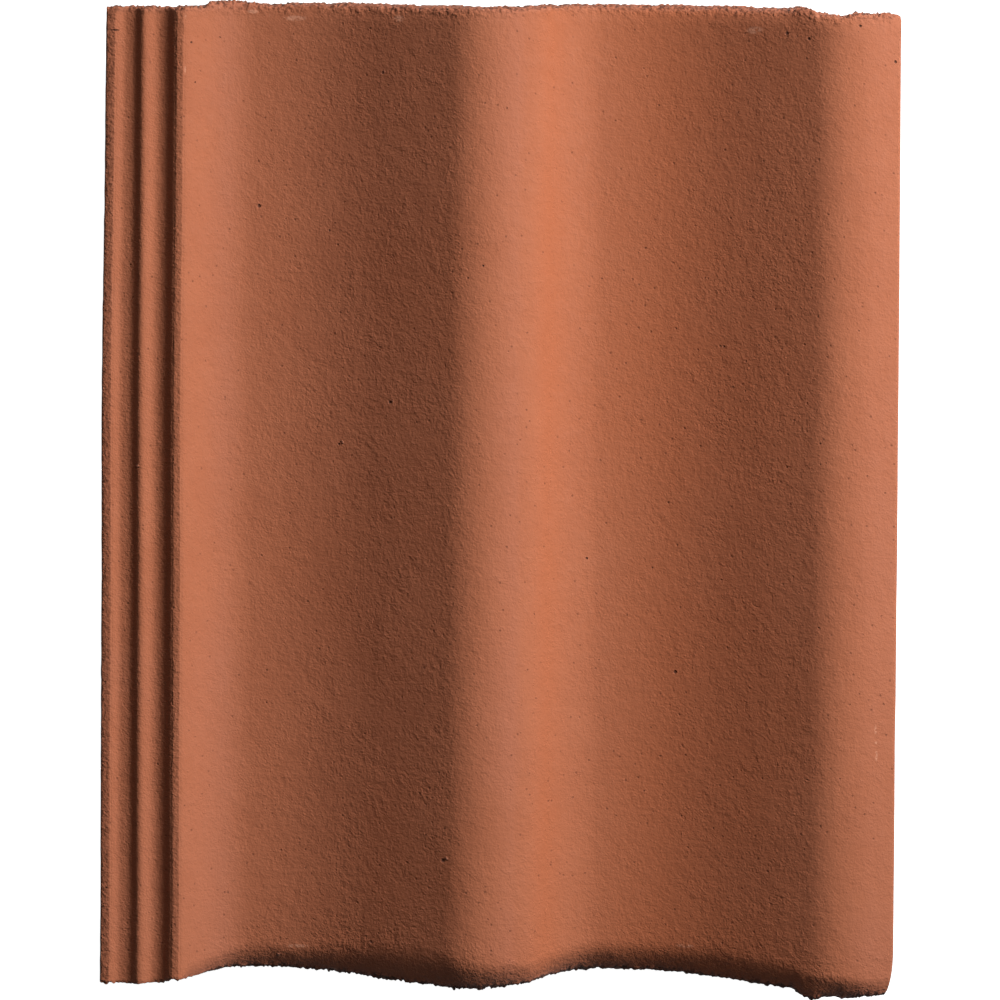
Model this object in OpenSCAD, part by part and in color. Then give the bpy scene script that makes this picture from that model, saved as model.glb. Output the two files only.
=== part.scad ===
// Interlocking concrete roof tile with two S-shaped waves, cast as one piece.
// It lies as it rests on a level floor: on the feet of its two nibs and on the
// lower edge of its nose. +Y points to the head, -X to the underlock, +Z up.
// All lengths are millimetres.

/* [Tile] */
// Length of the tile along any one line of its run
tile_len = 409; // [395:1:420]
// Distance from one wave to the next across the tile
pitch = 149; // [145:1:153]
// Thickness of the cast shell, square to its face
shell_t = 13; // [11:0.5:14]
// Slant of both cut ends away from square, in degrees
end_slant = 12; // [6:1:14]

/* [Wave] */
// Slope of the steep side of each wave, in degrees
steep = 44; // [40:1:45]
// Slope of the long side of each wave, in degrees
gentle = 22; // [20:0.5:23]
// Length of the rounding of the nose, measured along the run
nose_len = 11; // [8:0.5:13]
// Depth of the rounding of the nose
nose_drop = 6; // [4:0.5:7]
// Length of the rounded corner where the roll meets the nose
corner_len = 18; // [15:1:24]
// How far that corner is drawn in
corner_in = 4; // [2:0.5:5]

/* [Underlock] */
// Width of the shelf with the two grooves on the left side
lock_w = 36; // [34:0.5:38]
// Slope of the inner wall of the inner groove, in degrees
wall_in = 40; // [36:1:44]
// Slope of the inner wall of the outer groove, in degrees
wall_out = 37; // [34:1:42]
// Slope with which each groove begins on its left side, in degrees
groove_start = 31; // [29:1:34]
// Thickness of the shelf under the outer groove
shelf_t = 8; // [7:0.5:9]

/* [Overlock] */
// Depth of the two lips under the right roll
lip_d = 2.6; // [2:0.2:3]

/* [Nibs] */
// Width of each hanging nib
nib_w = 46; // [36:1:54]
// Depth of each nib below the pan
nib_d = 15; // [12:0.5:18]
// Thickness of each nib at its foot
nib_t = 20; // [16:1:24]
// Distance from the head edge to the bearing face of the nibs
nib_set = 36; // [32:1:44]

/* [Hidden] */

// The wave is a chain of arcs and straights: position along the pitch of a
// 149 mm wave, and slope there in degrees. The sine of the slope runs straight
// from one knot to the next, so each stretch is an arc or a line.
knots = [[0, -steep], [5, -steep], [26, -1], [58, 14.5], [79, gentle], [111, gentle],
         [125, -3], [136, -21], [143, -31], [149, -steep]];
// The second wave falls to the same depth and ends in the right roll, which stays
// flatter at its edge
roll_knots = [[0, -steep], [4, 3.5 - steep], [21, -14], [26, -4], [58, 13.5], [76, 20.5],
              [90, gentle + 1], [113.5, gentle + 1], [126, -2], [138, -18], [149, -22]];
ks = pitch / 149;
function total(v, i = 0) = i >= len(v) ? 0 : v[i] + total(v, i + 1);
// Rise over one stretch, from its start to the distance d along it, at scale s
function rise(k, i, d, s) =
    let (a = k[i][1], b = k[i + 1][1], w = (k[i + 1][0] - k[i][0]) * s,
         q = sin(a) + (sin(b) - sin(a)) * d / w)
    a == b ? d * tan(a) : w / (sin(b) - sin(a)) * (cos(a) - sqrt(1 - q * q));
function raw(k, u, s) = total([for (i = [0 : len(k) - 2]) let (k0 = k[i][0] * s)
    if (u > k0) rise(k, i, min(u, k[i + 1][0] * s) - k0, s)]);
// The closing error of the chain is spread over the pitch
closing = raw(knots, pitch, ks);
function one(k, u) = raw(k, u, ks) - closing * u / pitch;
low = min([for (i = [0 : 60]) one(knots, pitch * i / 60)]);
// Height of the wave above the floor of its pan, u measured from the rim
function wave(u) = u < pitch ? one(knots, u) - low : one(roll_knots, u - pitch) - low;
function tilt(u) = (wave(min(u + 0.5, 2 * pitch)) - wave(max(u - 0.5, 0)))
    / (min(u + 0.5, 2 * pitch) - max(u - 0.5, 0));
function under(u) = wave(u) - shell_t * sqrt(1 + tilt(u) * tilt(u));

tile_w = lock_w + 2 * pitch;
ls = lock_w / 36;

// The underlock is a chain of the same kind: the outer strip, two scooped grooves
// that fall from their left side and rise to a wall, and the strip of the rim
lock_knots = [[0, 40], [0.8, 14], [2.5, 9], [4, 3], [4.6, -28], [6, -groove_start], [7, -22],
    [8, -3], [9, 5], [11, 10], [12, 15], [13, 28], [14, wall_out], [15, wall_out], [16, 20],
    [16.7, 0], [18, -25], [19, -groove_start], [20, -groove_start], [21, -21], [22, -8], [23, 3],
    [24, 10], [26, 20], [27, 30], [28, wall_in], [29, wall_in], [30, 23], [30.8, 5], [31.6, 2],
    [33.2, 0], [33.8, -19], [34.5, -36], [35.2, -steep], [36, -steep]];
lock_rise = raw(lock_knots, lock_w, ls);
function lock_z(x) = wave(0) + raw(lock_knots, x, ls) - lock_rise;
inner_floor = lock_z(22.7 * ls);
outer_floor = lock_z(8.4 * ls);

// Underside of the underlock
lock_under = [[0, outer_floor - shelf_t + 1], [2, outer_floor - shelf_t],
    [29, outer_floor - shelf_t], [36, under(0)]];
// Underside of the roll, as distance from the right edge and height
lip_z = inner_floor + 1;
roof_z = lip_z + lip_d;
lap_w = 29;
lap_under = [[0, lip_z + 0.6], [0.8, lip_z], [5.4, lip_z], [6.6, roof_z], [13.6, roof_z],
    [14.8, lip_z], [18.8, lip_z], [20, roof_z], [27, roof_z], [29, under(2 * pitch - lap_w)]];

function between(p, q, x) = p[1] + (q[1] - p[1]) * (x - p[0]) / (q[0] - p[0]);
function along(t, x, i = 0) = i >= len(t) - 2 || x <= t[i + 1][0]
    ? between(t[i], t[i + 1], x) : along(t, x, i + 1);

// Columns across the tile
steps = 37;
lock_cols = [for (i = [0 : len(lock_knots) - 2]) let (p = lock_knots[i][0], q = lock_knots[i + 1][0])
    each [p * ls, (p + q) / 2 * ls]];
cols = concat(lock_cols, [lock_w],
    [for (i = [1 : 2 * steps - 8]) lock_w + pitch * i / steps],
    [for (i = [len(lap_under) - 1 : -1 : 0]) tile_w - lap_under[i][0]]);
n = len(cols);
function top_z(x) = x < lock_w ? lock_z(x) : wave(x - lock_w);
function low_z(x) = x <= lock_w ? along(lock_under, x / ls)
    : x >= tile_w - lap_w ? along(lap_under, tile_w - x) : under(x - lock_w);

// Both ends lean the same way and step toward the nose at the side laps
nose_set = [[0, 2.5], [8, 2.7], [13, 3], [17, 2.2], [23, 2.1], [27, 1.8], [29, 0.7], [32, 0],
    [tile_w - 42, 0], [tile_w - 38, 1.9], [tile_w, 2.2]];
head_set = [[0, 1.6], [28, 1.5], [40, 1.3], [60, 0.9], [85, 0],
    [tile_w - 42, 0], [tile_w - 34, 1.8], [tile_w, 1.8]];
function end_y(x, z, set) = -z * tan(end_slant) - along(set, x);
// The rounding of the nose fades out on the underlock and thins at the roll's edge
function fade(x) = x < lock_w ? 0.2 : x < lock_w + 6 ? 0.2 + 0.8 * (x - lock_w) / 6 : 1;
function drop(x) = min(nose_drop * fade(x), 2.8 + 0.1 * (tile_w - x));
// The corner of the roll and the nose is drawn in
function side(d) = d >= corner_len ? 0
    : corner_in * (1 - sqrt(1 - pow((corner_len - d) / corner_len, 2)));
function pull(x, d) = x < tile_w - 20 ? x : x - side(d) * (x - tile_w + 20) / 20;

head_y = tile_len / 2;
nose_y = -tile_len / 2;
turns = [0, 25, 45, 65, 90];
head_ring = concat(
    [for (x = cols) [x, head_y + end_y(x, top_z(x), head_set), top_z(x)]],
    [for (i = [n - 1 : -1 : 0]) let (x = cols[i])
        [x, head_y + end_y(x, low_z(x), head_set), low_z(x)]]);
// A ring at the turn a of the rounding, or the distance back behind the nose
function ring(a, back) = concat(
    [for (x = cols) let (z = top_z(x), d = back > 0 ? back : nose_len * fade(x) * (1 - sin(a)))
        [pull(x, d), nose_y + end_y(x, z, nose_set) + d, z - drop(x) * (1 - cos(a))]],
    [for (i = [n - 1 : -1 : 0]) let (x = cols[i], z = low_z(x),
            d = back > 0 ? back : nose_len * fade(x) * (1 - sin(a)))
        [pull(x, d), nose_y + end_y(x, z, nose_set) + d, z]]);

shell_pts = concat(head_ring, ring(0, corner_len), [for (a = turns) each ring(a, 0)]);
m = 2 * n;
rings = len(turns) + 2;
shell_faces = concat(
    [for (k = [0 : rings - 2], j = [0 : m - 1]) let (q = (j + 1) % m)
        each [[k * m + j, k * m + q, (k + 1) * m + j],
              [k * m + q, (k + 1) * m + q, (k + 1) * m + j]]],
    [for (i = [0 : n - 2]) each [[i, m - 1 - i, i + 1], [i + 1, m - 1 - i, m - 2 - i]]],
    [for (i = [0 : n - 2]) let (b = (rings - 1) * m)
        each [[b + i, b + i + 1, b + m - 1 - i], [b + i + 1, b + m - 2 - i, b + m - 1 - i]]]);

// The nibs sit under the pans, and their feet lie level with the nose
pan_u = 35 * ks;
bear_y = head_y - nib_set;
rest_y = nose_y + shell_t * tan(end_slant);
lean = atan(nib_d / (bear_y + nib_t / 2 - rest_y));
function foot_z(y) = -shell_t - (y - rest_y) * tan(lean);

// Where the resting tile lies, so that its box is centred over the origin
function rest(p) = [p[0], p[1] * cos(lean) - p[2] * sin(lean),
                    p[1] * sin(lean) + p[2] * cos(lean)];
rest_pts = [for (p = shell_pts) rest(p)];
mid_x = tile_w / 2;
mid_y = (max([for (p = rest_pts) p[1]]) + min([for (p = rest_pts) p[1]])) / 2;
floor_off = -rest([0, rest_y, -shell_t])[2];

module nib(x) {
    translate([x - nib_w / 2, 0, 0]) rotate([90, 0, 90])
        linear_extrude(nib_w)
            polygon([[bear_y, -shell_t / 2], [bear_y, foot_z(bear_y)],
                     [bear_y + nib_t, foot_z(bear_y + nib_t)],
                     [bear_y + nib_t + 4, -shell_t / 2]]);
}

module roof_tile() {
    color([0.72, 0.4, 0.3])
    translate([-mid_x, -mid_y, floor_off]) rotate([lean, 0, 0])
        union() {
            polyhedron(points = shell_pts, faces = shell_faces, convexity = 6);
            nib(lock_w + pan_u);
            nib(lock_w + pitch + pan_u);
        }
}

roof_tile();
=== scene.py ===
# Looks of the concrete roof tile: its cast surface, rough cut edges, coat and light.
import math
import bpy
import numpy as np
from mathutils import Matrix, Vector


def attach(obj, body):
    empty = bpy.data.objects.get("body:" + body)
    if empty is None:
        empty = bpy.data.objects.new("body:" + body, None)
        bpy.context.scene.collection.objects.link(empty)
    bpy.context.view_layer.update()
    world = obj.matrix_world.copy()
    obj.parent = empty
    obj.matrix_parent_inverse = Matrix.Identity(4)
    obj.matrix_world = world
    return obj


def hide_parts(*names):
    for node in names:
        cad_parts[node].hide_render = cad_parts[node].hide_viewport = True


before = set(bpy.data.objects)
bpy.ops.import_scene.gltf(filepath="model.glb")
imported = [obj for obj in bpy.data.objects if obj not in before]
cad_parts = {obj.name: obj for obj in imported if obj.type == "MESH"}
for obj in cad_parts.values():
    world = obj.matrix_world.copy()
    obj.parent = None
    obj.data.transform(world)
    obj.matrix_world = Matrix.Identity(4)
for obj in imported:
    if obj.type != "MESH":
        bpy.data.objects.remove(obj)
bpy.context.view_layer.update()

# ---------------------------------------------------------------- the tile's section, in mm
PITCH, LOCK, LENGTH, SHELL = 149.0, 36.0, 409.0, 13.0
WIDTH = LOCK + 2 * PITCH
STEEP, GENTLE = 44.0, 22.0
SLANT = math.tan(math.radians(12.0))
NOSE_LEN = 11.0
CORNER_LEN, CORNER_IN = 18.0, 4.0
NIB_W, NIB_D, NIB_T, NIB_SET = 46.0, 15.0, 20.0, 36.0
KNOTS = [(0, -STEEP), (5, -STEEP), (26, -1), (58, 14.5), (79, GENTLE), (111, GENTLE),
         (125, -3), (136, -21), (143, -31), (149, -STEEP)]
ROLL = [(0, -STEEP), (4, 3.5 - STEEP), (21, -14), (26, -4), (58, 13.5), (76, 20.5), (90, GENTLE + 1),
        (113.5, GENTLE + 1), (126, -2), (138, -18), (149, -22)]
LOCK_KNOTS = [(0, 40), (0.8, 14), (2.5, 9), (4, 3), (4.6, -28), (6, -31), (7, -22), (8, -3), (9, 5),
              (11, 10), (12, 15), (13, 28), (14, 37), (15, 37), (16, 20), (16.7, 0), (18, -25),
              (19, -31), (20, -31), (21, -21), (22, -8), (23, 3), (24, 10), (26, 20), (27, 30),
              (28, 40), (29, 40), (30, 23), (30.8, 5), (31.6, 2), (33.2, 0), (33.8, -19),
              (34.5, -36), (35.2, -STEEP), (36, -STEEP)]


def chain(knots, u):
    """Height along a chain of arcs and straights given by its slopes."""
    u = np.asarray(u, float)
    z = np.zeros_like(u)
    for (u0, a0), (u1, a1) in zip(knots[:-1], knots[1:]):
        d = np.clip(u - u0, 0, u1 - u0)
        s0, s1 = math.sin(math.radians(a0)), math.sin(math.radians(a1))
        if a0 == a1:
            z += d * math.tan(math.radians(a0))
        else:
            r = (u1 - u0) / (s1 - s0)
            z += r * (math.cos(math.radians(a0)) - np.sqrt(1 - (s0 + d / r) ** 2))
    return z


CLOSING = float(chain(KNOTS, PITCH))
BOTTOM = float((chain(KNOTS, np.linspace(0, PITCH, 61))
                - CLOSING * np.linspace(0, 1, 61)).min())


def wave(u):
    u = np.asarray(u, float)
    first = chain(KNOTS, np.clip(u, 0, PITCH)) - CLOSING * np.clip(u, 0, PITCH) / PITCH
    v = np.clip(u - PITCH, 0, PITCH)
    return np.where(u < PITCH, first, chain(ROLL, v) - CLOSING * v / PITCH) - BOTTOM


LOCK_RISE = float(chain(LOCK_KNOTS, LOCK))


def lock(x):
    return float(wave(0.0)) + chain(LOCK_KNOTS, x) - LOCK_RISE


def top(x):
    x = np.asarray(x, float)
    return np.where(x <= LOCK, lock(np.clip(x, 0, LOCK)), wave(x - LOCK))


def under(u):
    u = np.asarray(u, float)
    a, b = np.maximum(u - 0.5, 0), np.minimum(u + 0.5, 2 * PITCH)
    s = (wave(b) - wave(a)) / (b - a)
    return wave(u) - SHELL * np.sqrt(1 + s * s)


SHELF = float(lock(8.4)) - 8.0
LIP = float(lock(22.7)) + 1.0
CEIL = LIP + 2.6
LOCK_UNDER = np.array([[0, SHELF + 1], [2, SHELF], [29, SHELF], [36, float(under(0.0))]])
LAP_UNDER = np.array([[0, LIP + 0.6], [0.8, LIP], [5.4, LIP], [6.6, CEIL], [13.6, CEIL],
                      [14.8, LIP], [18.8, LIP], [20, CEIL], [27, CEIL],
                      [29, float(under(2 * PITCH - 29))]])


def low(x):
    x = np.asarray(x, float)
    lap = np.interp(WIDTH - x, LAP_UNDER[:, 0], LAP_UNDER[:, 1])
    lock = np.interp(x, LOCK_UNDER[:, 0], LOCK_UNDER[:, 1])
    return np.where(x <= LOCK, lock, np.where(x >= WIDTH - 29, lap, under(x - LOCK)))


NOSE_SET = np.array([[0, 2.5], [8, 2.7], [13, 3], [17, 2.2], [23, 2.1], [27, 1.8], [29, 0.7],
                     [32, 0], [WIDTH - 42, 0], [WIDTH - 38, 1.9], [WIDTH, 2.2]])
HEAD_SET = np.array([[0, 1.6], [28, 1.5], [40, 1.3], [60, 0.9], [85, 0], [WIDTH - 42, 0],
                     [WIDTH - 34, 1.8], [WIDTH, 1.8]])


def smooth(a, b, v):
    t = np.clip((np.asarray(v, float) - a) / (b - a), 0, 1)
    return t * t * (3 - 2 * t)


# The resting tile leans on its nibs: from the tile's own frame to the shared frame
BEAR_Y = LENGTH / 2 - NIB_SET
REST_Y = -LENGTH / 2 + SHELL * SLANT
LEAN = math.atan(NIB_D / (BEAR_Y + NIB_T / 2 - REST_Y))
FLOOR_OFF = -(REST_Y * math.sin(LEAN) - SHELL * math.cos(LEAN))
MID_Y = -2.41473


def to_row(p):
    """Tile millimetres to metres in the shared frame."""
    p = np.asarray(p, float)
    c, s = math.cos(LEAN), math.sin(LEAN)
    return np.stack([p[..., 0] - WIDTH / 2, p[..., 1] * c - p[..., 2] * s - MID_Y,
                     p[..., 1] * s + p[..., 2] * c + FLOOR_OFF], -1) / 1000.0


# ---------------------------------------------------------------- seeded noise
def lattice(ix, iy, iz, seed):
    m = np.uint64(0xFFFFFFFF)
    h = (ix.astype(np.int64) * 73856093 ^ iy.astype(np.int64) * 19349663
         ^ iz.astype(np.int64) * 83492791 ^ (seed * 2654435761)).astype(np.uint64) & m
    h = ((h ^ (h >> np.uint64(15))) * np.uint64(2246822519)) & m
    h = ((h ^ (h >> np.uint64(13))) * np.uint64(3266489917)) & m
    h = h ^ (h >> np.uint64(16))
    return h.astype(float) / 4294967295.0 * 2 - 1


def noise(p, size, seed):
    """Smooth noise from -1 to 1 with lumps about size across."""
    q = np.asarray(p, float) / size + 1000.5
    b = np.floor(q)
    f = q - b
    f = f * f * f * (f * (f * 6 - 15) + 10)
    i = b.astype(np.int64)
    out = 0.0
    for dx in (0, 1):
        for dy in (0, 1):
            for dz in (0, 1):
                w = ((f[..., 0] if dx else 1 - f[..., 0]) * (f[..., 1] if dy else 1 - f[..., 1])
                     * (f[..., 2] if dz else 1 - f[..., 2]))
                out = out + w * lattice(i[..., 0] + dx, i[..., 1] + dy, i[..., 2] + dz, seed)
    return out


def line(x, size, seed):
    x = np.asarray(x, float)
    return noise(np.stack([x, np.zeros_like(x), np.zeros_like(x)], -1), size, seed)


# ---------------------------------------------------------------- the mesh
# Columns across the tile: the run of the tile takes the wide set, its two ragged ends the fine one
xs = np.concatenate([np.arange(0, LOCK, 0.64), np.arange(LOCK, WIDTH - 30, 1.75),
                     np.linspace(WIDTH - 30, WIDTH, 27)])
xf = np.linspace(0, WIDTH, 780)


def eased(x, points, values):
    """Values across the tile, straight between given points and then softened."""
    g = np.arange(LOCK, WIDTH + 0.01, 0.5)
    v = np.interp(g, points, values)
    k = np.hanning(27)
    soft = np.convolve(np.pad(v, 13, mode="edge"), k / k.sum(), "valid")
    return np.interp(x, g, soft)


def bulge(x, a, b, c, d):
    """1 between b and c, falling to 0 at a and d."""
    return smooth(a, b, x) * (1 - smooth(c, d, x))


# The nose is rounded: how far back the rounding reaches, and its slope at the lower edge.
# It runs further back on the long sides of the waves and is blunt on the steep sides.
NOSE_X = [36, 44, 55, 67, 80, 101, 112, 134, 144, 152, 158, 166, 176, 184, 195, 207, 220, 233, 245, 258,
          283, 295, 302, 309, 321, 334]
REACH = [5.5, 6, 9.5, 12, 9.5, 12.5, 14, 16.5, 16, 13.5, 12.5, 12, 11, 9.5, 10.5, 12.5, 12.5, 13, 12.5, 14,
         11.5, 9.5, 10, 10, 8, 6.5]
TIP = [0.9, 1.3, 1.2, 0.95, 1.1, 0.8, 0.7, 0.6, 0.65, 0.95, 1.15, 1.35, 1.4, 1.2, 1.6, 1.35, 1.1, 0.9, 0.9, 0.65,
       0.64, 0.82, 1.15, 1.55, 2.1, 2.0]
# The head edge is worn round, most of all on the second wave
WORN_X = [36, 60, 80, 100, 123, 150, 170, 200, 233, 258, 283, 300, 334]
WORN = [0.15, 0.15, 0.3, 0.45, 0.5, 0.4, 0.2, 0.3, 0.5, 0.65, 0.7, 0.5, 0.4]


def columns(x):
    """All that is set by the place across the tile."""
    zt, zb = top(x), low(x)
    shelf = 1 - smooth(LOCK - 1.5, LOCK + 1.5, x)
    reach = eased(x, NOSE_X, REACH)
    room = np.interp(x, [0, WIDTH - 32, WIDTH - 25, WIDTH - 14, WIDTH - 7, WIDTH], [9.0, 9.0, 8.0, 6.0, 4.2, 3.0])
    drop = np.minimum(reach * eased(x, NOSE_X, TIP) / 2, room)
    reach = reach * (1 - shelf) + 1.4 * shelf
    # Ragged lines of the two cut ends, with the burrs and lumps of the casting
    head = 0.20 * line(x, 3.2, 11) + 0.28 * line(x, 6.5, 12) + 0.22 * line(x, 17, 13)
    burr = 2.3 * bulge(x, 41.5, 43.5, 47, 70)
    burr = burr + 1.5 * bulge(x, 289, 292.5, 298, 300) + 0.5 * bulge(x, 311, 313, 316, 318)
    burr = burr + 1.3 * bulge(x, 324, 326, 329, 331.5)
    head = head + burr * (1 + 0.4 * line(x, 2.2, 16)) - 1.2 * smooth(331.0, 334, x) ** 2
    nose = 0.20 * line(x, 4.6, 22) + 0.15 * line(x, 14, 23)
    nose = nose + 0.6 * smooth(35, 42, x) + 0.9 * bulge(x, 294, 297, 300, 304)
    nose = nose + (0.5 + 0.5 * line(x, 2.6, 28)) * smooth(297, 304, x)
    return {"x": x, "zt": zt, "zb": zb, "reach": reach, "head": head, "nose": nose,
            "jag": (0.4 + 1.0 * smooth(0.0, 0.5, line(x, 5.5, 27))) * (1 - 0.5 * smooth(300, 310, x)),
            "chips": 0.9 - 0.4 * bulge(x, 66, 84, 286, 291),
            "drop": drop * (1 - shelf) + 0.7 * shelf,
            "sag": np.interp(x, [0, 36, 44, 334], [0.0, 0.0, 0.5, 0.5]),
            "worn": eased(x, WORN_X, WORN) * (1 - 0.7 * shelf)}


def bow(x, y):
    """The sides of the casting are a little out of straight, most of all the underlock."""
    left = np.interp(y, [-200, -173, -140, -123, -73, -39, -5, 28, 78, 112, 200],
                     [1.4, 1.4, 1.15, 1.0, 0.95, 0.85, 0.55, 0.3, 0.35, 0.5, 0.5])
    strip = np.interp(y, [-200, 60, 112, 180, 205], [0.0, 0.0, 0.2, 0.5, 0.5])
    right = np.interp(y, [-200, -140, -60, 20, 200], [0.05, 0.15, 0.3, 0.45, 0.5])
    return (left * (1 - smooth(LOCK, 110, x)) + strip * (1 - smooth(6, 18, x))
            + right * smooth(270, WIDTH, x))


def ends_of(c, z):
    """Where the two slanting cut ends lie at the height z."""
    return (-LENGTH / 2 - z * SLANT - np.interp(c["x"], NOSE_SET[:, 0], NOSE_SET[:, 1]),
            LENGTH / 2 - z * SLANT - np.interp(c["x"], HEAD_SET[:, 0], HEAD_SET[:, 1]))


def drawn_in(x, d):
    """The rounded corner of the roll and the nose."""
    t = np.clip((CORNER_LEN - d) / CORNER_LEN, 0, 1)
    return x - np.where(x > WIDTH - 20, CORNER_IN * (1 - np.sqrt(1 - t * t)) * (x - WIDTH + 20) / 20, 0)


def top_rows(c, rows):
    """Points of the face, their distance from the nose, and how far they pass the head line.
    Each row is a share of the nose rounding with its edge, or a distance along the run."""
    out = np.zeros((len(c["x"]), len(rows), 3))
    dist = np.zeros(out.shape[:2])
    past = np.zeros(out.shape[:2])
    y_n, y_h = ends_of(c, c["zt"])
    for j, (share, rim_edge, run) in enumerate(rows):
        if run is None:
            d = c["reach"] * share
            z = c["zt"] - c["drop"] * (1 - share) ** 2 - np.minimum(0.8, 0.07 * c["reach"]) * rim_edge
        else:
            d = c["reach"] + (run - NOSE_LEN) * (LENGTH - c["reach"]) / (LENGTH - NOSE_LEN)
            z = c["zt"]
        z = z - c["sag"] * np.clip(1 - d / 24, 0, 1) ** 2
        worn = np.clip((d - LENGTH + 7) / 7, 0, 1)
        edge = np.clip((d - LENGTH + 1.6) / 1.6, 0, 1)
        z = z - 3.5 * c["worn"] * worn ** 2 - 0.8 * (1 - np.sqrt(1 - edge ** 2))
        q = np.stack([c["x"], d, z], -1)
        out_head = c["head"] * smooth(LENGTH - 8, LENGTH, d)
        out_head = out_head + c["chips"] * (0.75 * noise(q, 0.9, 14) + 0.6 * noise(q, 1.7, 15)) * smooth(LENGTH - 1.4, LENGTH, d)
        y = y_n + (y_h - y_n) * d / LENGTH - c["nose"] * (1 - smooth(0, 6, d)) + out_head
        y = y - c["jag"] * (0.75 * noise(q, 0.9, 24) + 0.6 * noise(q, 1.8, 21)) * (1 - smooth(0, 1.4, d))
        out[:, j] = np.stack([drawn_in(c["x"], d) + bow(c["x"], y), y, z], -1)
        dist[:, j] = d
        past[:, j] = d - LENGTH + out_head
    return out, dist, past


def low_rows(c, run):
    """Points of the underside with its two nibs."""
    out = np.zeros((len(c["x"]), len(run), 3))
    y_n, y_h = ends_of(c, c["zb"])
    for k, d in enumerate(run):
        in_run = smooth(340, 362, d) * (1 - smooth(399, 406, d))
        y = y_n + (y_h - y_n) * (d / LENGTH)
        y = y * (1 - in_run) + (d - LENGTH / 2) * in_run
        y = y - 0.6 * c["nose"] * (1 - smooth(0, 3, d)) + 0.7 * c["head"] * smooth(LENGTH - 4, LENGTH, d)
        q = np.stack([c["x"], y, c["zb"]], -1)
        y = y + c["chips"] * (0.8 * noise(q, 0.9, 17) + 0.6 * noise(q, 1.7, 18)) * smooth(LENGTH - 1, LENGTH, d)
        z = c["zb"].copy()
        for mid in (LOCK + 35.0, LOCK + PITCH + 35.0):
            m = np.minimum.reduce([np.clip((y - BEAR_Y) / 0.5, 0, 1),
                                   np.clip((BEAR_Y + NIB_T + 3.5 - y) / 3.5, 0, 1),
                                   np.clip((NIB_W / 2 + 0.6 - np.abs(c["x"] - mid)) / 1.6, 0, 1)])
            foot = -SHELL - (y - REST_Y) * math.tan(LEAN)
            z = z + (foot - z) * m
        out[:, k] = np.stack([drawn_in(c["x"], d) + bow(c["x"], y), y, z], -1)
    return out


shares = [0, 0.012, 0.034, 0.07, 0.12, 0.18, 0.25, 0.33, 0.42, 0.51, 0.6, 0.7, 0.8, 0.9, 1.0]
nose_rows = [(s, (1.0, 0.5, 0.15)[i] if i < 3 else 0.0, None) for i, s in enumerate(shares)]
run_rows = [(0, 0, d) for d in np.concatenate([np.arange(NOSE_LEN + 1.2, 28, 1.3),
                                               np.arange(28, LENGTH - 9.5, 2.2)])]
head_rows = [(0, 0, LENGTH - d) for d in (8.3, 7.0, 5.8, 4.8, 4.0, 3.3, 2.7, 2.1, 1.6, 1.1, 0.61, 0.24,
                                          0.05, 0.0)]
d_low = np.concatenate([[3, 8, 18], np.linspace(40, 356, 10),
                        np.arange(362, 368, 2.0), LENGTH / 2 + BEAR_Y + np.array([-0.6, 0.0, 0.5, 1.2]),
                        np.arange(370.5, 391, 2.0), np.arange(392, 399, 1.0), [401.5, 404.5, 407]])
wide, fine = columns(xs), columns(xf)
Tn, dn, pn = top_rows(fine, nose_rows)
Tc, dc, pc = top_rows(wide, run_rows)
Th, dh, ph = top_rows(fine, head_rows)
Bn, Bc, Bh = low_rows(fine, [0.0]), low_rows(wide, d_low), low_rows(fine, [LENGTH])

K = 9
steps = np.linspace(0, 1, K + 1)[1:-1]
blocks, count = [], 0


def add(block):
    global count
    block = np.asarray(block, float)
    shape = block.shape[:-1]
    idx = np.arange(count, count + int(np.prod(shape))).reshape(shape)
    blocks.append(block.reshape(-1, 3))
    count += idx.size
    return idx


def between(a, b):
    return a[:, None] + (b[:, None] - a[:, None]) * steps[None, :, None]


def cut_face(a, b, amount, seed):
    """A cut end between its two ragged edges, broken up by crumbs of its own."""
    k = np.hanning(23)

    def calm(e):
        y = np.convolve(np.pad(e[:, 1], 11, mode="edge"), k / k.sum(), "valid")
        return np.stack([e[:, 0], y, e[:, 2]], -1)

    out = between(calm(a), calm(b))
    out[..., 1] += amount * (0.8 * noise(out, 1.2, seed) + noise(out, 2.4, seed + 1))
    return out


iTn, iTc, iTh = add(Tn), add(Tc), add(Th)
n_top = count
iBn, iBc, iBh = add(Bn), add(Bc), add(Bh)
iN, iH = add(cut_face(Tn[:, 0], Bn[:, 0], 0.4, 61)), add(cut_face(Th[:, -1], Bh[:, 0], 0.6, 63))
faces = []


def grid(idx, flip):
    a, b, c, d = idx[:-1, :-1], idx[1:, :-1], idx[1:, 1:], idx[:-1, 1:]
    q = np.stack([a, b, c, d] if not flip else [a, d, c, b], -1).reshape(-1, 4)
    faces.extend(q.tolist())


def zipper(a, ya, b, yb, flip):
    """Triangles between two rows that are split at different places."""
    i = j = 0
    while i < len(a) - 1 or j < len(b) - 1:
        if j == len(b) - 1 or (i < len(a) - 1 and ya[i + 1] <= yb[j + 1]):
            t = [a[i], a[i + 1], b[j]]
            i += 1
        else:
            t = [a[i], b[j + 1], b[j]]
            j += 1
        faces.append([int(v) for v in (t[::-1] if flip else t)])


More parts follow.
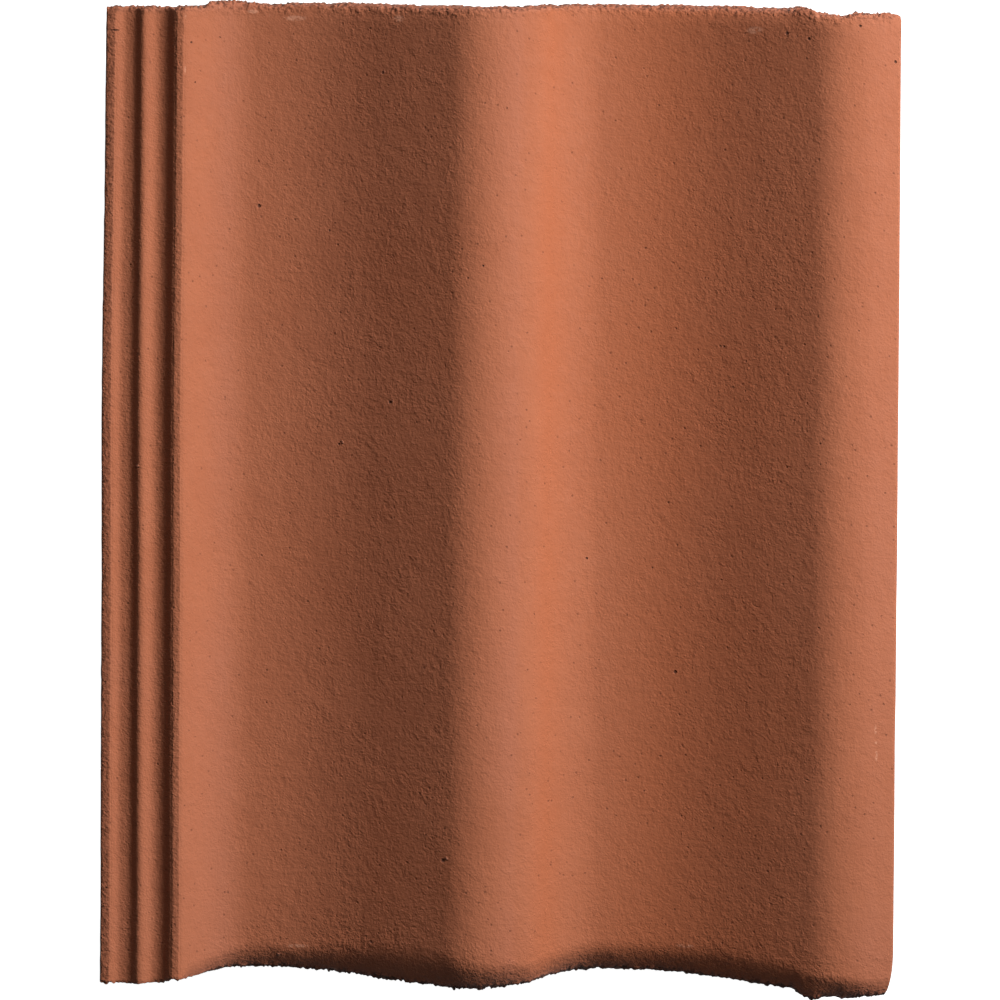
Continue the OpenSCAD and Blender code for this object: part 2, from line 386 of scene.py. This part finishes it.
grid(iTn, False)
grid(iTc, False)
grid(iTh, False)
zipper(iTn[:, -1], xf, iTc[:, 0], xs, False)
zipper(iTc[:, -1], xs, iTh[:, 0], xf, False)
grid(iBc, True)
zipper(iBn[:, 0], xf, iBc[:, 0], xs, True)
zipper(iBc[:, -1], xs, iBh[:, 0], xf, True)
grid(np.concatenate([iTn[:, :1], iN, iBn], 1), True)
grid(np.concatenate([iTh[:, -1:], iH, iBh], 1), False)
for e, flip in ((0, False), (-1, True)):
    up = np.concatenate([Tn[e], Tc[e], Th[e]])
    down = np.concatenate([Bn[e], Bc[e], Bh[e]])
    below = np.stack([np.interp(up[:, 1], down[:, 1], down[:, a]) for a in range(3)], -1)
    mid = add(between(up[1:-1], below[1:-1]))
    side = np.concatenate([np.concatenate([iTn[e], iTc[e], iTh[e]])[:, None],
                           np.vstack([iN[e][None], mid, iH[e][None]])], 1)
    grid(side, flip)
    zipper(side[:, -1], up[:, 1], np.concatenate([iBn[e], iBc[e], iBh[e]]), down[:, 1], flip)

P = np.vstack(blocks)

mesh = bpy.data.meshes.new("roof_tile_cast")
mesh.from_pydata(to_row(P).tolist(), [], faces)
mesh.update()
nrm = np.zeros(len(P) * 3)
mesh.vertex_normals.foreach_get("vector", nrm)
nrm = nrm.reshape(-1, 3)

# ---------------------------------------------------------------- where the skin is coated or raw, and the painted shade on the nose tip
F = P[:n_top]
tx = np.concatenate([np.repeat(xf, Tn.shape[1]), np.repeat(xs, Tc.shape[1]), np.repeat(xf, Th.shape[1])])
td = np.concatenate([dn.ravel(), dc.ravel(), dh.ravel()])
tp = np.concatenate([pn.ravel(), pc.ravel(), ph.ravel()])

raw = np.ones(len(P))
rough = np.ones(len(P))
wob = 0.5 * noise(F, 5.0, 31) + 0.35 * noise(F, 2.2, 32)
strip = 1 - smooth(3.7, 4.6, tx + 0.4 * wob)
rim = smooth(30.2, 30.9, tx + 0.3 * wob) * (1 - smooth(33.3, 33.9, tx + 0.2 * wob))
head = 0.7 * smooth(-2.4, -0.6, tp + 0.9 * wob) + 0.3 * smooth(0.2, 0.9, tp)
on_lock = 1 - smooth(33, 36, tx)
crumbly = smooth(-5.0, -1.4, tp - 2.2 * on_lock + (1.5 - 0.9 * on_lock) * wob)
tip = (1 - smooth(0.2, 2.6, td + 1.0 * wob)) * smooth(40, 48, tx)
tip = np.maximum(tip, 0.5 * (1 - smooth(0.0, 0.8, td + 0.3 * wob)))
# tip counts twice: above 1 the mask is painted shade on the nose tip, darker than the bare concrete
raw[:n_top] = np.maximum.reduce([0.35 * strip, 0.1 * rim, head, 2.0 * tip])
peppery = 0.35 * (1 - smooth(3, 14, td + 2.0 * wob)) * smooth(40, 48, tx)
peppery = np.maximum(peppery, 0.8 * (1 - smooth(2, 6, td + 1.2 * wob)) * smooth(296, 306, tx))
rough[:n_top] = np.maximum.reduce([0.65 * strip, 0.55 * rim, crumbly, tip, peppery])

# ---------------------------------------------------------------- cast relief
move = np.zeros(len(P))
move[:n_top] = (0.10 * noise(F, 46, 41) + 0.07 * noise(F, 19, 42) + 0.03 * noise(F, 7.5, 43))
move[:n_top] += np.maximum(strip, rim) * (0.06 * noise(F, 2.4, 45) + 0.08 * noise(F, 4.5, 46))
move[:n_top] += np.maximum(0.58 * crumbly, tip) * (0.34 * noise(F, 0.95, 51) + 0.28 * noise(F, 1.8, 52)
                                            + 0.10 * noise(F, 4.0, 53))
rest_i = np.arange(n_top, len(P))
move[rest_i] = 0.10 * noise(P[rest_i], 3.0, 47) + 0.10 * noise(P[rest_i], 9.0, 48)
ends = np.concatenate([iN.ravel(), iH.ravel()])
move[ends] += 0.28 * noise(P[ends], 2.6, 49) + 0.3 * noise(P[ends], 6.0, 50)
feet = P[:, 2] < -SHELL - 1.0
move[feet] = 0.0
move[iBn.ravel()] = 0.0
move[iBc[:, :2].ravel()] = 0.0

co = to_row(P) + nrm * move[:, None] / 1000.0
co[:, 2] = np.maximum(co[:, 2], 0.0)
mesh.vertices.foreach_set("co", co.ravel())
mesh.update()
# How grainy the cast face is, from patch to patch
grainy = np.ones(len(P))
grainy[:n_top] = 1.0 + 0.20 * noise(F, 11.0, 35) + 0.18 * noise(F, 5.0, 36)
grainy[:n_top] *= 1 + 0.4 * (1 - smooth(8, 32, td)) * smooth(40, 60, tx) - 0.12 * smooth(190, 230, tx)
for name, values in (("raw", raw), ("rough", rough), ("grainy", grainy)):
    att = mesh.attributes.new(name, "FLOAT", "POINT")
    att.data.foreach_set("value", values.astype(np.float32))
# Hue across the tile, set at places across the waves: above 0 deeper and redder, below 0 paler
tint = np.zeros(len(P))
tint[:n_top] = np.interp(tx, [0, 34, 51, 68, 150, 174, 188, 198, 240, 290, 324],
                         [-0.2, -0.1, -0.6, 0.2, 0.2, -0.6, 0.8, 0.2, 1.0, 0.5, -0.4])
tint[:n_top] += 0.25 * noise(F, 60, 33) + 0.15 * noise(F, 22, 34)
att = mesh.attributes.new("tint", "FLOAT", "POINT")
att.data.foreach_set("value", tint.astype(np.float32))

# Single marks of the cast face, in tile millimetres: place and half size across and along
PITS = [(64.8, 118.5, 1.1, 1.0), (121.5, 35.3, 0.9, 0.9), (117.4, 173.9, 0.8, 0.8),
        (145.4, -156.2, 1.0, 1.0), (115.2, -192.1, 0.8, 0.8), (242.8, -77.8, 0.9, 0.9),
        (36.9, 185.7, 0.5, 0.5), (38.5, 169.2, 0.4, 0.4), (48.1, 189.4, 0.4, 0.4),
        (286.7, 190.8, 0.9, 0.9), (295.5, 187.9, 0.8, 0.8), (316.5, 193.0, 0.9, 0.8),
        (332.0, 178.9, 0.8, 0.8), (99.8, 17.6, 0.7, 0.7), (95.0, 108.0, 0.6, 0.6),
        (160.3, 92.0, 0.6, 0.6), (205.0, -30.0, 0.6, 0.6),
        (262.0, 60.0, 0.6, 0.6), (4.6, 190.7, 2.4, 0.4)]
CRUMBS = [(101.2, 18.5, 0.9, 0.9), (15.6, 7.6, 1.1, 1.0), (75.4, -199.3, 0.9, 0.9),
          (195.9, -204.8, 0.9, 0.9), (147.0, -155.2, 0.9, 0.9), (122.5, 35.6, 0.6, 0.6),
          (117.9, 174.3, 0.6, 0.6)]
SCUFFS = [(79.5, 198.2, 6.2, 1.4), (83.5, -195.3, 6.5, 1.0), (248.0, -193.6, 4.5, 0.9),
          (325.6, -100.2, 0.7, 2.4), (326.0, -111.0, 0.7, 2.8), (34.6, 196.5, 0.4, 1.4),
          (34.6, 174.0, 0.4, 2.0), (61.7, 201.0, 3.0, 1.2), (124.0, 196.4, 3.0, 1.8),
          (273.7, 192.8, 4.0, 2.0)]


def offsets(group):
    """Each vertex's offset from the nearest mark in that mark's sizes, and 1 close to it."""
    out = np.zeros((len(P), 3))
    out[:, :2] = 9.0
    for x, y, rx, ry in group:
        d = F[:, :2] - (x, y)
        q = d / (rx, ry)
        near = ((np.abs(d[:, 0]) < rx + 4.5) & (np.abs(d[:, 1]) < ry + 4.5)
                & (np.hypot(q[:, 0], q[:, 1]) < np.hypot(out[:n_top, 0], out[:n_top, 1])))
        at = np.where(near)[0]
        out[at, :2] = q[at]
        out[at, 2] = 1.0
    return out


for name, group in (("pit", PITS), ("crumb", CRUMBS), ("scuff", SCUFFS)):
    att = mesh.attributes.new(name, "FLOAT_VECTOR", "POINT")
    att.data.foreach_set("vector", offsets(group).astype(np.float32).ravel())
for p in mesh.polygons:
    p.use_smooth = True

tile = bpy.data.objects.new("roof_tile_cast", mesh)
bpy.context.scene.collection.objects.link(tile)
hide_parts("roof_tile")
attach(tile, "root")


# ---------------------------------------------------------------- material
mat = bpy.data.materials.new("coated_concrete")
mat.use_nodes = True
nt = mat.node_tree
nt.nodes.clear()


def node(kind, **props):
    n = nt.nodes.new(kind)
    for k, v in props.items():
        setattr(n, k, v)
    return n


def put(socket, value):
    if hasattr(value, "links") or isinstance(value, bpy.types.NodeSocket):
        nt.links.new(value, socket)
    else:
        socket.default_value = value


def math_node(op, a, b=0.0, c=None, clamp=False):
    n = node("ShaderNodeMath", operation=op, use_clamp=clamp)
    put(n.inputs[0], a)
    put(n.inputs[1], b)
    if c is not None:
        put(n.inputs[2], c)
    return n.outputs[0]


def ramp(value, lo, hi, a=0.0, b=1.0):
    n = node("ShaderNodeMapRange", interpolation_type="SMOOTHSTEP")
    put(n.inputs["Value"], value)
    n.inputs["From Min"].default_value = lo
    n.inputs["From Max"].default_value = hi
    n.inputs["To Min"].default_value = a
    n.inputs["To Max"].default_value = b
    return n.outputs["Result"]


def cloud(scale, detail=3.0, rough=0.55, vec=None, dist=0.0):
    n = node("ShaderNodeTexNoise")
    put(n.inputs["Vector"], vec if vec is not None else coords)
    n.inputs["Scale"].default_value = scale
    n.inputs["Detail"].default_value = detail
    n.inputs["Roughness"].default_value = rough
    n.inputs["Distortion"].default_value = dist
    return n.outputs["Fac"]


def mix(fac, a, b, blend="MIX"):
    n = node("ShaderNodeMix", data_type="RGBA", blend_type=blend)
    put(n.inputs[0], fac)
    put(n.inputs[6], a)
    put(n.inputs[7], b)
    return n.outputs[2]


def attribute(name, output="Fac"):
    return node("ShaderNodeAttribute", attribute_name=name).outputs[output]


def spots(name, ragged, outer, inner):
    """1 inside the marks of an offset attribute, with ragged outlines."""
    sep = node("ShaderNodeSeparateXYZ")
    put(sep.inputs[0], attribute(name, "Vector"))
    x, y = sep.outputs[0], sep.outputs[1]
    far = math_node("SQRT", math_node("ADD", math_node("MULTIPLY", x, x), math_node("MULTIPLY", y, y)))
    far = math_node("ADD", far, math_node("MULTIPLY", ragged, 0.8))
    return math_node("MULTIPLY", ramp(far, outer + 0.4, inner + 0.4), ramp(sep.outputs[2], 0.9, 0.99))


coords = node("ShaderNodeTexCoord").outputs["Object"]
raw_at = attribute("raw")
rough_at = attribute("rough")
tint_at = attribute("tint")

# Coat colour: drifts of tone and hue, and a faint mottle
mottle = cloud(38, 4, 0.6)
sand = cloud(185, 3.2, 0.92)
colour = mix(ramp(mottle, 0.30, 0.70), (0.325, 0.1010, 0.0465, 1), (0.345, 0.1100, 0.0515, 1))
colour = mix(ramp(tint_at, 0.0, 1.2), colour, (0.337, 0.0975, 0.0400, 1))
colour = mix(ramp(tint_at, 0.0, -1.0), colour, (0.337, 0.1120, 0.0590, 1))
colour = mix(ramp(sand, 0.55, 0.75, 0.0, 0.10), colour, (0.39, 0.135, 0.072, 1))
colour = mix(ramp(sand, 0.45, 0.25, 0.0, 0.16), colour, (0.22, 0.066, 0.031, 1))


# Sand grains under the coat: a dome in each cell, here and there a hole where one is missing, painted dark as
# shade
cells = node("ShaderNodeTexVoronoi", feature="F1")
put(cells.inputs["Vector"], coords)
cells.inputs["Scale"].default_value = 760.0
cell = node("ShaderNodeSeparateColor")
put(cell.inputs[0], cells.outputs["Color"])
dome = ramp(cells.outputs["Distance"], 0.58, 0.08)
hole = ramp(cell.outputs[0], 0.021, 0.014)
# Painted shade in the holes
colour = mix(math_node("MULTIPLY", math_node("MULTIPLY", hole, dome), 0.5), colour, (0.09, 0.027, 0.014, 1))

# Bare concrete on the cut edges and the underside, with paler grit and dark pores, and painted shade on the nose
# tip
grit = cloud(560, 1.5, 0.7)
raw_col = mix(ramp(grit, 0.36, 0.56), (0.09, 0.028, 0.015, 1), (0.36, 0.118, 0.062, 1))
raw_col = mix(ramp(grit, 0.60, 0.74, 0.0, 0.7), raw_col, (0.42, 0.19, 0.12, 1))
# Painted shade on the nose tip: mask values past 1 darken the bare concrete nearly to black
raw_col = mix(ramp(raw_at, 1.1, 2.0, 0.0, 0.75), raw_col, (0.05, 0.019, 0.012, 1))
colour = mix(math_node("MULTIPLY", raw_at, 0.85, clamp=True), colour, raw_col)

# Single pits, crumbs and pale rub marks: the pits painted dark as shade, partly the shadow of the crumbs beside
# them, the crumbs painted pale as a highlight on their lit side
pit = spots("pit", grit, 1.0, 0.3)
crumb = spots("crumb", grit, 1.0, 0.3)
rub = math_node("MULTIPLY", spots("scuff", grit, 1.0, 0.55), ramp(grit, 0.36, 0.52))
# Painted shade in the pits
colour = mix(math_node("MULTIPLY", pit, 0.8), colour, (0.06, 0.02, 0.012, 1))
# Painted highlight on the crumbs
colour = mix(math_node("MULTIPLY", crumb, 0.55), colour, (0.44, 0.18, 0.11, 1))
colour = mix(math_node("MULTIPLY", rub, 0.6), colour, (0.52, 0.235, 0.145, 1))

bsdf = node("ShaderNodeBsdfPrincipled")
put(bsdf.inputs["Base Color"], colour)
put(bsdf.inputs["Roughness"], ramp(sand, 0.3, 0.7, 0.92, 0.80))
bsdf.inputs["Specular IOR Level"].default_value = 0.25

grain = math_node("MULTIPLY", math_node("SUBTRACT", sand, 0.5), attribute("grainy"))
grain = math_node("MULTIPLY", grain, 1.12)
lump = math_node("SUBTRACT", math_node("MULTIPLY", cell.outputs[1], 0.115), math_node("MULTIPLY", hole, 0.34))
grain = math_node("ADD", grain, math_node("MULTIPLY", dome, lump))
grain = math_node("ADD", grain, math_node("MULTIPLY", math_node("SUBTRACT", crumb, pit), 1.4))
coarse = math_node("MULTIPLY", rough_at, math_node("MULTIPLY", grit, 1.5))
grain = math_node("ADD", grain, coarse)
bump = node("ShaderNodeBump")
bump.inputs["Strength"].default_value = 1.0
bump.inputs["Distance"].default_value = 0.0005
put(bump.inputs["Height"], grain)
put(bsdf.inputs["Normal"], bump.outputs[0])
out = node("ShaderNodeOutputMaterial")
nt.links.new(bsdf.outputs[0], out.inputs[0])
mesh.materials.append(mat)

# ---------------------------------------------------------------- floor, light and camera
floor_mesh = bpy.data.meshes.new("floor")
floor_mesh.from_pydata([(-30, -30, 0), (30, -30, 0), (30, 30, 0), (-30, 30, 0)], [], [(0, 1, 2, 3)])
floor = bpy.data.objects.new("floor", floor_mesh)
bpy.context.scene.collection.objects.link(floor)
fmat = bpy.data.materials.new("pale_floor")
fmat.use_nodes = True
fb = fmat.node_tree.nodes["Principled BSDF"]
fb.inputs["Base Color"].default_value = (0.5, 0.5, 0.5, 1)
fb.inputs["Roughness"].default_value = 0.9
fb.inputs["Specular IOR Level"].default_value = 0.1
fb.inputs["Emission Color"].default_value = (1, 1, 1, 1)
fb.inputs["Emission Strength"].default_value = 1.0
floor_mesh.materials.append(fmat)
floor.visible_diffuse = False

scene = bpy.context.scene
world = bpy.data.worlds.new("studio")
world.use_nodes = True
world.node_tree.nodes["Background"].inputs[0].default_value = (1, 1, 1, 1)
world.node_tree.nodes["Background"].inputs[1].default_value = 0.052
scene.world = world

lean_m = Matrix.Rotation(LEAN, 4, "X")


def tile_point(x, y, z):
    return Vector(to_row(np.array([x, y, z])).tolist())


def tile_dir(v):
    return (lean_m.to_3x3() @ Vector(v)).normalized()


centre = tile_point(WIDTH / 2, 0, 10)
KEY_AZ, KEY_EL, KEY_DIST = 34.0, 29.6, 1.88
kd = tile_dir((math.cos(math.radians(KEY_EL)) * math.cos(math.radians(KEY_AZ)),
               math.cos(math.radians(KEY_EL)) * math.sin(math.radians(KEY_AZ)),
               math.sin(math.radians(KEY_EL))))
key_data = bpy.data.lights.new("key", "AREA")
key_data.shape = "DISK"
key_data.size = 0.46
key_data.spread = math.radians(70)
key_data.energy = 9.5
key = bpy.data.objects.new("key", key_data)
key.location = centre + kd * KEY_DIST
key.rotation_euler = kd.to_track_quat("Z", "Y").to_euler()
scene.collection.objects.link(key)

fill_data = bpy.data.lights.new("fill", "AREA")
fill_data.shape = "DISK"
fill_data.size = 1.2
fill_data.energy = 6.2
fill = bpy.data.objects.new("fill", fill_data)
fill.location = (0.15, 1.45, 1.9)
fill.rotation_euler = (fill.location - centre).to_track_quat("Z", "Y").to_euler()
scene.collection.objects.link(fill)

cam_data = bpy.data.cameras.new("camera")
cam_data.sensor_width = 36.0
cam_data.lens = 3058.0 * 36.0 / 1000.0
cam_data.clip_start = 0.01
cam = bpy.data.objects.new("camera", cam_data)
roll = 0.0078
z_axis = tile_dir((0, 0, 1))
up = tile_dir((-math.sin(roll), math.cos(roll), 0))
x_axis = up.cross(z_axis).normalized()
up = z_axis.cross(x_axis)
pos = tile_point(168.1, -5.5, 1298.0)
cam.matrix_world = Matrix(((x_axis.x, up.x, z_axis.x, pos.x), (x_axis.y, up.y, z_axis.y, pos.y),
                           (x_axis.z, up.z, z_axis.z, pos.z), (0, 0, 0, 1)))
scene.collection.objects.link(cam)
scene.camera = cam
scene.view_settings.view_transform = "Standard"
scene.view_settings.look = "None"
